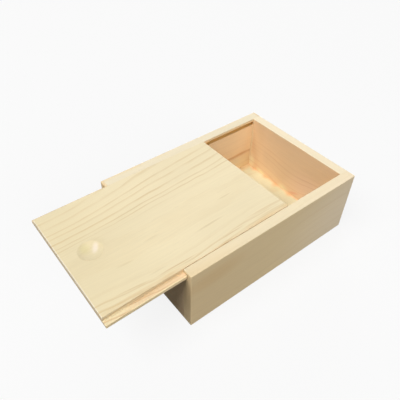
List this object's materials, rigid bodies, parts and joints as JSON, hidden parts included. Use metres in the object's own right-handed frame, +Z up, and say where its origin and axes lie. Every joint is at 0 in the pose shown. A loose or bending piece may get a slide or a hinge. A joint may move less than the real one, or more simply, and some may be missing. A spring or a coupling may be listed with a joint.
{
  "type": "sliding lid wooden box",
  "caption": "Low rectangular box of bare pine boards with a flat lid that slides in grooves in the side walls and has a round finger recess.",
  "frame": {"origin": "middle of the underside of the box, on the bottom panel's flat face", "axes": "+X across the box to its right side wall, +Y along it to its full-height back end, +Z up; the lid is drawn out towards -Y"},
  "size_m": [0.12, 0.23, 0.059],
  "materials": {
    "side_walls": "planed bare pine",
    "end_walls": "planed bare pine",
    "bottom": "planed bare pine",
    "lid": "sanded bare pine"
  },
  "bodies": {
    "box": {"left_side_wall": "side_walls", "right_side_wall": "side_walls", "back_end_wall": "end_walls", "front_end_wall": "end_walls", "bottom_panel": "bottom"},
    "lid": {"sliding_lid": "lid"}
  },
  "joints": [
    {"name": "lid_slide", "type": "slide", "parent": "box", "child": "lid", "axis": [0, -1, 0], "range_m": [-0.061, 0.105]}
  ]
}
